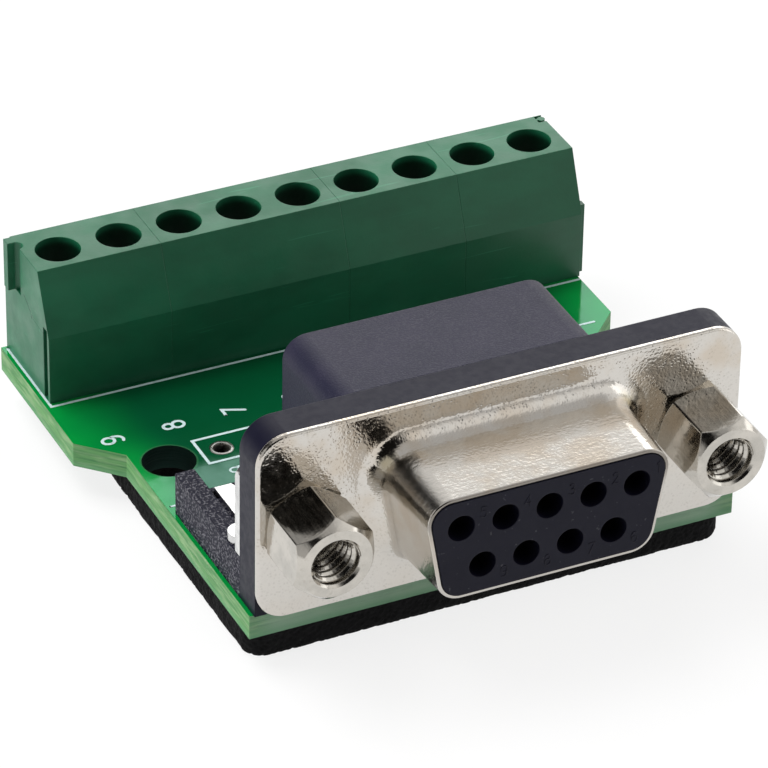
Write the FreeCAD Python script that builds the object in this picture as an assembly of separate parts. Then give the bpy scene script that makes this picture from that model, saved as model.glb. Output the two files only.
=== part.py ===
"""Adapter from a nine-way D-shaped socket connector to a row of nine screw terminals.

Millimetres. X runs along the connector's width, Y from the connector (front) to the
terminals (back), Z up. The origin is on the underside of the foam pad that the adapter
rests on, halfway between the board's two mounting holes.
"""
import FreeCAD, Part
import math
import os

V = FreeCAD.Vector

# Foam pad under the board
pad_thickness = 2.0
pad_left_inset = 0.2
pad_right_inset = 0.1
pad_front_inset = 0.5
pad_back_inset = 1.0
pad_corner_radius = 1.4
pin_pocket_margin = 0.35

# Circuit board
board_thickness = 1.6
board_beside_flange = 0.25
board_beside_block = 0.14
board_front_reach = 16.4
board_behind_block = 0.05
board_shoulder_start = 1.6
mount_hole_diameter = 3.3
mount_hole_edge = 2.08
header_pitch = 2.54
header_count = 9
header_hole_diameter = 1.1
pin_hole_margin = 0.15

# Contacts of the connector
contact_pitch = 2.77
row_spacing = 2.84
upper_count = 5
lower_count = 4
contact_barrel_diameter = 1.9
contact_bore_diameter = 1.05
contact_barrel_length = 4.4
contact_recess = 1.9
contact_split_width = 0.3
contact_split_depth = 2.4
tail_diameter = 0.7
tail_bend_radius = 0.8
tail_first_row = 2.26
tail_row_spacing = 2.54
tail_below_board = 1.1

# Insulator
mouth_diameter = 1.68
cavity_clearance = 0.04
tail_clearance = 0.05
nose_length = 5.94
nose_beside_contacts = 2.04
nose_above_contacts = 1.78
nose_slope_deg = 10.0
nose_corner_radius = 1.25
plate_thickness = 2.14
foot_length = 8.16
foot_height = 2.0
foot_rib_length = 9.26
foot_rib_height = 2.83
foot_rib_width = 1.2
foot_clear_of_cover = 0.2

# Metal shell round the nose
shell_sheet = 0.35
shell_clearance = 0.05
shell_rim_sheet = 0.2
shell_rim_round = 0.12
shell_rim_setback = 0.06
shell_draft = 0.25
shell_flare_radius = 1.3
flange_above_nose = 3.0
flange_beside_jack = 2.9
flange_corner_radius = 1.9
flange_edge_round = 0.18
flange_below_board_top = 0.24
flange_board_gap = 0.2

# Hexagonal jack sockets
jack_beside_nose = 4.915
jack_across_flats = 4.75
jack_length = 4.45
jack_front_chamfer = 0.65
jack_back_chamfer = 0.4
jack_edge_round = 0.15
jack_left_turn_deg = 26.0
jack_right_turn_deg = 9.0
jack_thread_diameter = 2.9
jack_thread_depth = 3.8
jack_mouth_chamfer = 0.17
jack_face_inset = 0.175
stud_diameter = 2.8
stud_past_bracket = 0.7
stud_clearance = 0.15
thread_clearance = 0.03

# Cover behind the insulator
cover_wall = 1.0
cover_left_margin = 4.16
cover_right_margin = 1.74
cover_depth = 6.75
cover_round = 1.45

# Board brackets
bracket_sheet = 0.65
bracket_top_above_jack = 2.8
bracket_corner_radius = 0.8
bracket_clear_of_rib = 0.1
tongue_sheet = 0.4
tongue_end_width = 1.1
tongue_root_width = 3.1
tongue_back_inset = 0.55
tongue_beside_rib = 0.55
ear_diameter = 1.65
ear_length = 2.5
ear_inset = 0.05
ear_neck_width = 1.1
ear_sheet = 0.5
ear_above_rib = 0.05
board_lock_thickness = 0.4
board_lock_below_board = 1.0
board_lock_margin = 0.2

# Terminal block
pole_pitch = 3.96
module_poles = (2, 3, 2, 2)
module_gap = 0.01
block_end_wall = 0.11
block_centre_x = 0.24
block_front_reach = 8.55
block_depth = 7.0
block_height = 8.5
block_front_kink = 4.55
block_front_setback = 1.6
block_back_chamfer = 1.0
block_back_chamfer_drop = 1.2
screw_behind_front = 3.47
screw_hole_diameter = 2.8

# Clips between the blocks
rib_behind_front = 0.58
rib_width = 0.5
rib_stand = 0.35
rib_root = 0.3
rib_bottom = 0.1
rib_top = 5.0
lip_before_back = 1.1
lip_stand = 0.48
lip_depth = 0.65
lip_bottom = 5.2
lip_root = 0.04
cove_radius = 0.42
cove_depth = 0.35
bead_radius = 0.24
bead_inset = 0.19
bead_neck_width = 0.2
clip_clearance = 0.04

# Terminal screws
screw_head_diameter = 2.6
screw_head_depth = 1.85
screw_head_height = 0.9
screw_slot_width = 0.5
screw_slot_depth = 0.45
screw_shank_diameter = 2.0
screw_tip_gap = 0.03

# Wire cages
cage_sheet = 0.4
cage_inside_width = 2.0
cage_length = 3.0
cage_top_thickness = 0.9
cage_above_board = 0.35
cage_opening = 1.8
cage_travel = 1.5
cage_bar_gap = 0.05
cage_roof_gap = 0.2
chamber_clearance = 0.1

# Terminal pins
bar_thickness = 0.5
bar_width = 1.8
bar_into_back_wall = 0.45
bar_clearance = 0.08
leg_width = 0.9
leg_thickness = 0.6
leg_behind_front = 0.7
leg_below_board = 1.1

# Wire entries
entry_width = 2.2
entry_funnel = 0.35
entry_funnel_depth = 0.8

# Smallest distance that counts as apart
same_place = 0.001

# Heights
board_bottom_z = pad_thickness
board_top_z = pad_thickness + board_thickness
nose_half_height = row_spacing / 2 + nose_above_contacts
flange_half_height = nose_half_height + flange_above_nose
contact_axis_z = board_top_z + flange_half_height - flange_below_board_top
upper_row_z = contact_axis_z + row_spacing / 2
lower_row_z = contact_axis_z - row_spacing / 2
cover_top_z = contact_axis_z + flange_half_height

# Widths, from the centre line
nose_half_width = (upper_count - 1) / 2 * contact_pitch + nose_beside_contacts
jack_x = nose_half_width + jack_beside_nose
flange_half_width = jack_x + flange_beside_jack
board_front_half_width = flange_half_width + board_beside_flange
mount_hole_x = board_front_half_width - mount_hole_edge
pole_count = sum(module_poles)
block_half_width = pole_count * pole_pitch / 2 + block_end_wall
board_back_half_width = max(block_half_width + board_beside_block, board_front_half_width)
cover_left_x = -(upper_count - 1) / 2 * contact_pitch - cover_left_margin
cover_right_x = (upper_count - 1) / 2 * contact_pitch + cover_right_margin

# Places along the depth
board_front_y = -board_front_reach
flange_front_y = board_front_y - flange_board_gap - shell_sheet
plate_front_y = flange_front_y + shell_sheet
plate_back_y = plate_front_y + plate_thickness
nose_front_y = flange_front_y - nose_length
first_tail_y = plate_back_y + tail_first_row
block_front_y = block_front_reach
block_back_y = block_front_y + block_depth
board_back_y = block_back_y + board_behind_block
screw_y = block_front_y + screw_behind_front
board_shoulder_end = board_shoulder_start + board_back_half_width - board_front_half_width

# Heights inside the terminal block
block_top_z = board_top_z + block_height
cage_bottom_z = board_top_z + cage_above_board
opening_bottom_z = cage_bottom_z + cage_sheet
bar_bottom_z = opening_bottom_z + cage_opening
bar_top_z = bar_bottom_z + bar_thickness
cage_top_z = bar_top_z + cage_bar_gap + cage_top_thickness
chamber_top_z = cage_top_z + cage_travel + cage_roof_gap
head_top_z = block_top_z - screw_head_depth
head_bottom_z = head_top_z - screw_head_height
chamber_half_length = cage_length / 2 + chamber_clearance
chamber_half_width = cage_inside_width / 2 + cage_sheet + chamber_clearance
leg_front_y = block_front_y + leg_behind_front


def box(x0, x1, y0, y1, z0, z1):
    """Box between two corners."""
    return Part.makeBox(x1 - x0, y1 - y0, z1 - z0, V(x0, y0, z0))


def upright(radius, x, y, z0, z1):
    """Cylinder along Z."""
    return Part.makeCylinder(radius, z1 - z0, V(x, y, z0), V(0, 0, 1))


def along_y(radius, x, z, y0, y1):
    """Cylinder along Y."""
    return Part.makeCylinder(radius, y1 - y0, V(x, y0, z), V(0, 1, 0))


def outline(corners, radii, place):
    """Closed wire through 2D corners, each rounded by its radius, laid in space by place."""
    count = len(corners)
    spans = []
    for i in range(count):
        here = V(*corners[i], 0)
        before = (V(*corners[i - 1], 0) - here).normalize()
        after = (V(*corners[(i + 1) % count], 0) - here).normalize()
        half = before.getAngle(after) / 2
        radius = radii[i]
        if radius == 0:
            spans.append((here, None, here))
            continue
        reach = radius / math.tan(half)
        middle = (before + after).normalize() * (radius / math.sin(half) - radius)
        spans.append((here + before * reach, here + middle, here + after * reach))
    edges = []
    for i in range(count):
        start, middle, end = spans[i]
        if middle is not None:
            points = [place(p.x, p.y) for p in (start, middle, end)]
            edges.append(Part.Arc(*points).toShape())
        following = spans[(i + 1) % count][0]
        edges.append(Part.makeLine(place(end.x, end.y), place(following.x, following.y)))
    return Part.Wire(edges)


def prism(wire, run):
    """Solid made by drawing a closed wire along a vector."""
    return Part.Face(wire).extrude(run)


def on_plan(z):
    """Lays an outline flat at height z."""
    return lambda u, v: V(u, v, z)


def facing_front(y):
    """Stands an outline up across the adapter at depth y, its height from the contact axis."""
    return lambda u, v: V(u, y, contact_axis_z + v)


def side_view(x):
    """Stands an outline up along the adapter at x, its height from the board's top."""
    return lambda u, v: V(x, u, board_top_z + v)


def upper_contacts():
    """X and height of the five contacts 1 to 5, number 1 on the right."""
    last = (upper_count - 1) / 2
    return [((last - i) * contact_pitch, upper_row_z) for i in range(upper_count)]


def lower_contacts():
    """X and height of the four contacts 6 to 9, number 6 on the right."""
    last = (lower_count - 1) / 2
    return [((last - i) * contact_pitch, lower_row_z) for i in range(lower_count)]


def tail_y(z):
    """Depth at which a contact's tail goes down: the lower row is the nearer one."""
    return first_tail_y if z == lower_row_z else first_tail_y + tail_row_spacing


def contacts():
    """All nine contacts in number order."""
    return upper_contacts() + lower_contacts()


def pole_x(number):
    """X of terminal 1 to 9, number 1 on the right."""
    return block_centre_x + ((pole_count + 1) / 2 - number) * pole_pitch


def board_lock_box(side, margin, z0, z1):
    """Space of a board bracket's leg through the foot and the board."""
    outer = flange_half_width - foot_rib_width - tongue_beside_rib
    inner = outer - tongue_end_width
    back = plate_back_y + foot_length - tongue_back_inset
    front = back - board_lock_thickness
    x0, x1 = sorted((side * inner, side * outer))
    return box(x0 - margin, x1 + margin, front - margin, back + margin, z0, z1)


def make_foam_pad():
    """Pad under the board, pierced by the pins and punched clear of the mounting holes."""
    left = -board_front_half_width + pad_left_inset
    right = board_front_half_width - pad_right_inset
    front = board_front_y + pad_front_inset
    back = board_back_y - pad_back_inset
    corners = [(left, front), (right, front), (right, back), (left, back)]
    pad = prism(outline(corners, [pad_corner_radius] * 4, on_plan(0)), V(0, 0, pad_thickness))
    cuts = []
    for side in (-1, 1):
        cuts.append(upright(mount_hole_diameter / 2, side * mount_hole_x, 0, 0, pad_thickness))
        pocket = board_bottom_z - board_lock_below_board - pin_pocket_margin
        cuts.append(board_lock_box(side, pin_pocket_margin, pocket, pad_thickness))
    for x, z in contacts():
        pocket = board_bottom_z - tail_below_board - pin_pocket_margin
        cuts.append(upright(tail_diameter / 2 + pin_pocket_margin, x, tail_y(z), pocket, pad_thickness))
    for number in range(1, pole_count + 1):
        pocket = board_bottom_z - leg_below_board - pin_pocket_margin
        reach = leg_width / 2 + pin_pocket_margin
        y0 = leg_front_y - pin_pocket_margin
        y1 = leg_front_y + leg_thickness + pin_pocket_margin
        x = pole_x(number)
        cuts.append(box(x - reach, x + reach, y0, y1, pocket, pad_thickness))
    return pad.cut(cuts)


def make_circuit_board():
    """Board, narrow at the connector and wider at the terminals, with all of its holes."""
    front, back = board_front_half_width, board_back_half_width
    half = [(front, board_front_y), (front, board_shoulder_start)]
    if back > front:
        half.append((back, board_shoulder_end))
    half.append((back, board_back_y))
    corners = half + [(-x, y) for x, y in reversed(half)]
    board = prism(outline(corners, [0] * len(corners), on_plan(board_bottom_z)), V(0, 0, board_thickness))
    low, high = board_bottom_z, board_top_z
    cuts = []
    for side in (-1, 1):
        cuts.append(upright(mount_hole_diameter / 2, side * mount_hole_x, 0, low, high))
        cuts.append(board_lock_box(side, board_lock_margin, low, high))
    for i in range(header_count):
        x = (i - (header_count - 1) / 2) * header_pitch
        cuts.append(upright(header_hole_diameter / 2, x, 0, low, high))
    for x, z in contacts():
        cuts.append(upright(tail_diameter / 2 + pin_hole_margin, x, tail_y(z), low, high))
    leg_radius = math.hypot(leg_width, leg_thickness) / 2 + pin_hole_margin
    for number in range(1, pole_count + 1):
        cuts.append(upright(leg_radius, pole_x(number), leg_front_y + leg_thickness / 2, low, high))
    return board.cut(cuts)


def nose_outline(y, margin):
    """D-shaped section of the nose, wide side up, grown by margin on every side."""
    slope = math.tan(math.radians(nose_slope_deg))
    top = nose_half_height + margin
    half_top = nose_half_width + margin / math.cos(math.radians(nose_slope_deg)) + margin * slope
    half_bottom = half_top - 2 * top * slope
    corners = [(-half_bottom, -top), (half_bottom, -top), (half_top, top), (-half_top, top)]
    return outline(corners, [nose_corner_radius + margin] * 4, facing_front(y))


def flange_outline(y, bottom, bottom_radius):
    """Rectangle of the flange; bottom is its lower edge below the contact axis."""
    w, h, r = flange_half_width, flange_half_height, flange_corner_radius
    corners = [(-w, -bottom), (w, -bottom), (w, h), (-w, h)]
    return outline(corners, [bottom_radius, bottom_radius, r, r], facing_front(y))


def make_connector_shell():
    """Pressed metal shell: a flat flange that flares into the collar round the nose."""
    wire = flange_outline(flange_front_y, flange_half_height, flange_corner_radius)
    flange = prism(wire, V(0, shell_sheet, 0))
    rim = []
    for edge in flange.Edges:
        if edge.BoundBox.YMax - flange_front_y < same_place:
            rim.append(edge)
    flange = flange.makeFillet(flange_edge_round, rim)
    rim_y = nose_front_y + shell_rim_setback
    tip = shell_clearance
    root = tip + shell_draft
    outside = Part.makeLoft(
        [nose_outline(flange_front_y, root + shell_sheet), nose_outline(rim_y, tip + shell_rim_sheet)],
        True,
    )
    mouth = [edge for edge in outside.Edges if edge.BoundBox.YMax - rim_y < same_place]
    outside = outside.makeFillet(shell_rim_round, mouth)
    body = flange.fuse(outside).removeSplitter()
    ring = []
    for edge in body.Edges:
        spot = edge.BoundBox
        in_plane = max(abs(spot.YMin - flange_front_y), abs(spot.YMax - flange_front_y)) < same_place
        reach = 2 * shell_sheet + root
        near_nose = abs(edge.CenterOfMass.x) < nose_half_width + reach
        inside_flange = abs(edge.CenterOfMass.z - contact_axis_z) < nose_half_height + reach
        if in_plane and near_nose and inside_flange:
            ring.append(edge)
    body = body.makeFillet(shell_flare_radius, ring)
    inside = Part.makeLoft(
        [nose_outline(plate_front_y, root), nose_outline(rim_y, tip)],
        True,
    )
    cuts = [inside]
    for side in (-1, 1):
        radius = stud_diameter / 2 + stud_clearance
        cuts.append(along_y(radius, side * jack_x, contact_axis_z, flange_front_y, plate_front_y))
    return body.cut(cuts)


def make_foot(side):
    """Foot beside the cover: a low floor with a raised rib along its outer edge."""
    outer = flange_half_width
    inner = -cover_left_x + foot_clear_of_cover
    rib_inner = outer - foot_rib_width
    floor_x = sorted((side * inner, side * outer))
    rib_x = sorted((side * rib_inner, side * outer))
    y, z = plate_back_y, board_top_z
    floor = box(*floor_x, y, y + foot_length, z, z + foot_height)
    rib = box(*rib_x, y, y + foot_rib_length, z, z + foot_rib_height)
    return floor.fuse(rib)


def make_front_insulator():
    """Moulded insulator: the D-shaped nose, the plate behind the flange and the two feet."""
    root = plate_front_y
    nose = prism(nose_outline(root, 0), V(0, nose_front_y - root, 0))
    plate = prism(flange_outline(root, contact_axis_z - board_top_z, 0), V(0, plate_thickness, 0))
    body = plate.fuse([nose, make_foot(-1), make_foot(1)]).removeSplitter()
    cuts = []
    for x, z in contacts():
        back = nose_front_y + contact_recess + contact_barrel_length
        cavity = contact_barrel_diameter / 2 + cavity_clearance
        cuts.append(along_y(mouth_diameter / 2, x, z, nose_front_y, nose_front_y + contact_recess))
        cuts.append(along_y(cavity, x, z, nose_front_y + contact_recess, back))
        cuts.append(along_y(tail_diameter / 2 + tail_clearance, x, z, back, plate_back_y))
    for side in (-1, 1):
        radius = stud_diameter / 2 + stud_clearance
        cuts.append(along_y(radius, side * jack_x, contact_axis_z, plate_front_y, plate_back_y))
        cuts.append(board_lock_box(side, board_lock_margin, board_top_z, board_top_z + foot_height))
    return body.cut(cuts)


def make_rear_cover():
    """Cover over the contact tails, open towards the board and the insulator."""
    back = plate_back_y + cover_depth
    outside = box(cover_left_x, cover_right_x, plate_back_y, back, board_top_z, cover_top_z)
    long_edges = []
    for edge in outside.Edges:
        spot = edge.BoundBox
        if abs(spot.ZMin - cover_top_z) < same_place and spot.XMax - spot.XMin < same_place:
            long_edges.append(edge)
    outside = outside.makeFillet(cover_round, long_edges)
    inside = box(
        cover_left_x + cover_wall, cover_right_x - cover_wall,
        plate_back_y, back - cover_wall,
        board_top_z, cover_top_z - cover_wall,
    )
    return outside.cut(inside)


def make_socket_contact(x, z):
    """Turned socket with a split mouth and a round tail bent down through the board."""
    front = nose_front_y + contact_recess
    back = front + contact_barrel_length
    barrel = along_y(contact_barrel_diameter / 2, x, z, front, back)
    bore = along_y(contact_bore_diameter / 2, x, z, front, back - contact_barrel_diameter / 2)
    reach, half_split = contact_barrel_diameter / 2, contact_split_width / 2
    split = box(x - reach, x + reach, front, front + contact_split_depth, z - half_split, z + half_split)
    down_y = tail_y(z)
    bend = tail_bend_radius
    start = V(x, back - contact_bore_diameter / 2, z)
    before = V(x, down_y - bend, z)
    middle = V(x, down_y - bend + bend * math.sin(math.pi / 4), z - bend + bend * math.cos(math.pi / 4))
    after = V(x, down_y, z - bend)
    end = V(x, down_y, board_bottom_z - tail_below_board)
    path = Part.Wire([
        Part.makeLine(start, before),
        Part.Arc(before, middle, after).toShape(),
        Part.makeLine(after, end),
    ])
    section = Part.Wire([Part.makeCircle(tail_diameter / 2, start, V(0, 1, 0))])
    tail = path.makePipeShell([section], True, False)
    return barrel.cut([bore, split]).fuse(tail)


def make_jack_socket(side, turn_deg):
    """Hexagonal jack socket with a tapped mouth and a stud that holds the connector together."""
    x = side * jack_x
    corner = jack_across_flats / 2 / math.cos(math.pi / 6)
    corners = []
    for i in range(6):
        angle = math.radians(turn_deg + 60 * i)
        corners.append((x + corner * math.cos(angle), corner * math.sin(angle)))
    front_y = flange_front_y - jack_length
    hexagon = prism(outline(corners, [jack_edge_round] * 6, facing_front(front_y)), V(0, jack_length, 0))
    face = jack_across_flats / 2 - jack_face_inset
    back_y = flange_front_y - jack_back_chamfer
    profile = [
        V(0, front_y, 0), V(face, front_y, 0), V(corner, front_y + jack_front_chamfer, 0),
        V(corner, back_y, 0), V(face, flange_front_y, 0), V(0, flange_front_y, 0),
    ]
    profile.append(profile[0])
    turned = Part.Face(Part.makePolygon(profile)).revolve(V(0, 0, 0), V(0, 1, 0), 360)
    turned.translate(V(x, 0, contact_axis_z))
    stud_end = plate_back_y + bracket_sheet + stud_past_bracket
    stud = along_y(stud_diameter / 2, x, contact_axis_z, back_y, stud_end)
    bore = along_y(jack_thread_diameter / 2, x, contact_axis_z, front_y, front_y + jack_thread_depth)
    mouth = Part.makeCone(
        jack_thread_diameter / 2 + jack_mouth_chamfer, jack_thread_diameter / 2, jack_mouth_chamfer,
        V(x, front_y, contact_axis_z), V(0, 1, 0),
    )
    return hexagon.common(turned).fuse(stud).cut([bore, mouth])


def make_board_bracket(side):
    """Bent metal bracket: a plate behind the insulator, a tongue along the foot and a board leg."""
    outer = flange_half_width
    inner = -cover_left_x + foot_clear_of_cover
    front, back = plate_back_y, plate_back_y + bracket_sheet
    foot_z = board_top_z + foot_height - contact_axis_z
    ear_z = board_top_z + foot_rib_height + ear_above_rib - contact_axis_z
    rib_inner = flange_half_width - foot_rib_width - bracket_clear_of_rib
    corners = [
        (rib_inner, foot_z), (rib_inner, ear_z), (outer, ear_z), (outer, bracket_top_above_jack),
        (inner, bracket_top_above_jack), (inner, foot_z),
    ]
    radii = [0, 0, 0, bracket_corner_radius, bracket_corner_radius, 0]
    if side < 0:
        corners = [(-u, v) for u, v in reversed(corners)]
        radii = radii[::-1]
    plate = prism(outline(corners, radii, facing_front(front)), V(0, bracket_sheet, 0))

    end = flange_half_width - foot_rib_width - tongue_beside_rib
    tip_y = plate_back_y + foot_length - tongue_back_inset
    tongue_corners = [
        (end - tongue_root_width, front), (end, front), (end, tip_y), (end - tongue_end_width, tip_y),
    ]
    if side < 0:
        tongue_corners = [(-u, v) for u, v in reversed(tongue_corners)]
    tongue_z = board_top_z + foot_height
    tongue = prism(outline(tongue_corners, [0] * 4, on_plan(tongue_z)), V(0, 0, tongue_sheet))
    low = contact_axis_z + ear_z
    high = low + ear_sheet
    centre_x = outer - ear_inset - ear_diameter / 2
    centre_y = front + ear_length - ear_diameter / 2
    neck_x = sorted((side * (centre_x - ear_neck_width / 2), side * (centre_x + ear_neck_width / 2)))
    neck = box(*neck_x, front, centre_y, low, high)
    ear = upright(ear_diameter / 2, side * centre_x, centre_y, low, high).fuse(neck)
    leg = board_lock_box(side, 0, board_bottom_z - board_lock_below_board, tongue_z + tongue_sheet)
    hole = along_y(stud_diameter / 2 + thread_clearance, side * jack_x, contact_axis_z, front, back)
    return plate.fuse([tongue, ear, leg]).removeSplitter().cut(hole)


def block_profile(x):
    """Side outline of a terminal block: sloped upper front, chamfered upper back."""
    front, back = block_front_y, block_back_y
    corners = [
        (front, 0), (front, block_front_kink), (front + block_front_setback, block_height),
        (back - block_back_chamfer, block_height),
        (back, block_height - block_back_chamfer_drop), (back, 0),
    ]
    return outline(corners, [0] * len(corners), side_view(x))


def clip_rib(x_face, grow):
    """Upright rib near the front of a block's right face, or its groove when grown."""
    y = block_front_y + rib_behind_front
    half = rib_width / 2 + grow
    x0, x1 = x_face - rib_root - grow, x_face + rib_stand + grow
    return box(x0, x1, y - half, y + half, board_top_z + rib_bottom - grow, board_top_z + rib_top + grow)


def clip_lip(x_face, grow):
    """Lip that stands out of the row's left end near its back, or the notch for it when grown."""
    y1 = block_back_y - lip_before_back
    y0 = y1 - lip_depth
    z0 = board_top_z + lip_bottom
    return box(x_face - lip_stand - grow, x_face + lip_root, y0 - grow, y1 + grow, z0 - grow, block_top_z)


def clip_cove(x_face):
    """Round cove in the row's left end, in front of its lip."""
    y = block_back_y - lip_before_back - lip_depth - cove_radius
    x = x_face + cove_depth - cove_radius
    return upright(cove_radius, x, y, board_top_z + lip_bottom, block_top_z)


def clip_bead(x_face):
    """Round bead on a neck, in the notch of the row's right end."""
    x = x_face - bead_inset
    y = block_back_y - lip_before_back - lip_depth / 2
    z0 = board_top_z + lip_bottom
    half = bead_neck_width / 2
    neck = box(x_face - lip_stand - lip_root, x, y - half, y + half, z0, block_top_z)
    return upright(bead_radius, x, y, z0, block_top_z).fuse(neck)


def wire_entry(x):
    """Rectangular wire way from the back face into the chamber, with a funnel at its mouth."""
    half = entry_width / 2
    low, high = opening_bottom_z, bar_bottom_z
    y0 = screw_y + chamber_half_length
    way = box(x - half, x + half, y0, block_back_y, low, high)
    mouth_y = block_back_y - entry_funnel_depth
    wires = []
    for y, grow in ((mouth_y, 0), (block_back_y, entry_funnel)):
        points = [
            V(x - half - grow, y, low - grow), V(x + half + grow, y, low - grow),
            V(x + half + grow, y, high + grow), V(x - half - grow, y, high + grow),
        ]
        wires.append(Part.makePolygon(points + points[:1]))
    return way.fuse(Part.makeLoft(wires, True, True))


def make_terminal_body(index):
    """One clipped block of the row, with a chamber, screw hole and wire way for each pole."""
    poles_before = sum(module_poles[:index])
    poles = module_poles[index]
    is_first = index == 0
    is_last = index == len(module_poles) - 1
    start = block_centre_x - pole_count * pole_pitch / 2 + poles_before * pole_pitch
    x0 = start - block_end_wall if is_first else start + module_gap / 2
    x1 = start + poles * pole_pitch
    x1 = x1 + block_end_wall if is_last else x1 - module_gap / 2
    body = prism(block_profile(x0), V(x1 - x0, 0, 0))
    groove = clip_rib(x0 - module_gap, clip_clearance)
    body = body.cut(groove).fuse(clip_rib(x1, 0))
    if is_first:
        body = body.cut(clip_cove(x0)).fuse(clip_lip(x0, 0))
    if is_last:
        body = body.cut(clip_lip(x1, clip_clearance)).fuse(clip_bead(x1))
    cuts = []
    low = board_top_z
    for i in range(poles):
        x = start + (i + 0.5) * pole_pitch
        cuts.append(upright(screw_hole_diameter / 2, x, screw_y, chamber_top_z, block_top_z))
        cuts.append(box(
            x - chamber_half_width, x + chamber_half_width,
            screw_y - chamber_half_length, screw_y + chamber_half_length, low, chamber_top_z,
        ))
        half_bar = bar_width / 2 + bar_clearance
        cuts.append(box(
            x - half_bar, x + half_bar, leg_front_y - bar_clearance, screw_y,
            low, bar_top_z + bar_clearance,
        ))
        back = screw_y + chamber_half_length + bar_into_back_wall + bar_clearance
        cuts.append(box(
            x - half_bar, x + half_bar, screw_y, back,
            bar_bottom_z - bar_clearance, bar_top_z + bar_clearance,
        ))
        cuts.append(wire_entry(x))
    return body.cut(cuts)


def make_terminal_screw(x):
    """Slotted cheese-head clamping screw."""
    head = upright(screw_head_diameter / 2, x, screw_y, head_bottom_z, head_top_z)
    shank = upright(screw_shank_diameter / 2, x, screw_y, bar_top_z + screw_tip_gap, head_bottom_z)
    reach, half = screw_head_diameter, screw_slot_width / 2
    slot_z = head_top_z - screw_slot_depth
    slot = box(x - reach, x + reach, screw_y - half, screw_y + half, slot_z, head_top_z)
    return head.fuse(shank).removeSplitter().cut(slot)


def make_wire_cage(x):
    """Rising cage: a square ring round the contact bar, its thick top tapped for the screw."""
    outer = cage_inside_width / 2 + cage_sheet
    inner = cage_inside_width / 2
    y0, y1 = screw_y - cage_length / 2, screw_y + cage_length / 2
    ring = box(x - outer, x + outer, y0, y1, cage_bottom_z, cage_top_z)
    window = box(x - inner, x + inner, y0, y1, opening_bottom_z, cage_top_z - cage_top_thickness)
    hole = upright(screw_shank_diameter / 2 + thread_clearance, x, screw_y, opening_bottom_z, cage_top_z)
    return ring.cut([window, hole])


def make_terminal_pin(x):
    """Contact bar over the wire way with a leg down through the board."""
    half_bar, half_leg = bar_width / 2, leg_width / 2
    bar_end = screw_y + chamber_half_length + bar_into_back_wall
    bar = box(x - half_bar, x + half_bar, leg_front_y, bar_end, bar_bottom_z, bar_top_z)
    leg_end = board_bottom_z - leg_below_board
    leg = box(x - half_leg, x + half_leg, leg_front_y, leg_front_y + leg_thickness, leg_end, bar_top_z)
    return bar.fuse(leg).removeSplitter()


def all_parts():
    """Every sub-part by name."""
    parts = {
        "foam_pad": make_foam_pad(),
        "circuit_board": make_circuit_board(),
        "connector_shell": make_connector_shell(),
        "front_insulator": make_front_insulator(),
        "rear_cover": make_rear_cover(),
        "jack_socket_left": make_jack_socket(-1, jack_left_turn_deg),
        "jack_socket_right": make_jack_socket(1, jack_right_turn_deg),
        "board_bracket_left": make_board_bracket(-1),
        "board_bracket_right": make_board_bracket(1),
    }
    for number, (x, z) in enumerate(contacts(), 1):
        parts[f"socket_contact_{number}"] = make_socket_contact(x, z)
    for index in range(len(module_poles)):
        parts[f"terminal_body_{index + 1}"] = make_terminal_body(index)
    for number in range(1, pole_count + 1):
        x = pole_x(number)
        parts[f"terminal_screw_{number}"] = make_terminal_screw(x)
        parts[f"wire_cage_{number}"] = make_wire_cage(x)
        parts[f"terminal_pin_{number}"] = make_terminal_pin(x)
    return parts


os.makedirs("parts", exist_ok=True)
for name, shape in all_parts().items():
    solids = len(shape.Solids)
    print(f"{name}: solids {solids}, valid {shape.isValid()}, volume {shape.Volume:.2f}")
    shape.exportStep(f"parts/{name}.step")
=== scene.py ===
"""Looks of the adapter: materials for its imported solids, and the pieces that only the looks need.

The frame is that of the solids, in metres: X across, Y from the connector to the terminals,
Z up, the origin under the foam pad between the two mounting holes. Lengths in this file are in
millimetres, and MM turns them into metres.
"""
import math

import bmesh
import bpy
from mathutils import Matrix, Vector, noise


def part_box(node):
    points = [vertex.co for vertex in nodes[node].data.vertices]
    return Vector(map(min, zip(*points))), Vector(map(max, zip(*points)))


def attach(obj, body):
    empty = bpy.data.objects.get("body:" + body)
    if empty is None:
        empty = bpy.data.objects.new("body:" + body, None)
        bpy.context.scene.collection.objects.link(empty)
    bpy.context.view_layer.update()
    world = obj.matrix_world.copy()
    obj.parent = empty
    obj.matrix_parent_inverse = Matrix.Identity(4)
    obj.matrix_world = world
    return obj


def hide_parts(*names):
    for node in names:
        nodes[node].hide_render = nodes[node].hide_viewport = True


MM = 0.001
TINY = 1e-6

# Places and sizes that the solids have
BOARD_TOP = 3.6
BOARD_BOTTOM = 2.0
BOARD_FRONT = -16.4
FLANGE_FRONT = -16.95
FACE_Y = -22.89
AXIS_Z = 9.56
CONTACT_PITCH = 2.77
FOOT_START = -14.5
FOOT_TOP = 6.6
JACK_X = 12.495
JACK_FRONT = -21.4
JACK_BORE = 1.45
HOLE_X = 13.565
HOLE_RADIUS = 1.65
POLE_PITCH = 3.96
POLE_CENTRE = 0.24
BLOCK_TOP = 12.1
SCREW_Y = 12.02
SCREW_HOLE = 1.4
HEADER_PITCH = 2.54

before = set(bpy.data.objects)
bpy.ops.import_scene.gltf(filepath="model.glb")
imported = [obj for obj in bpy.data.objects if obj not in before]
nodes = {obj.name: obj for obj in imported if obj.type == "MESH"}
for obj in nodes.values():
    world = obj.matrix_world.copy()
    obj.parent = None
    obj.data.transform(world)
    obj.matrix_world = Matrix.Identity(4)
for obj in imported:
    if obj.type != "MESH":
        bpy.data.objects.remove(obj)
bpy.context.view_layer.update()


# Material building

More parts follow.
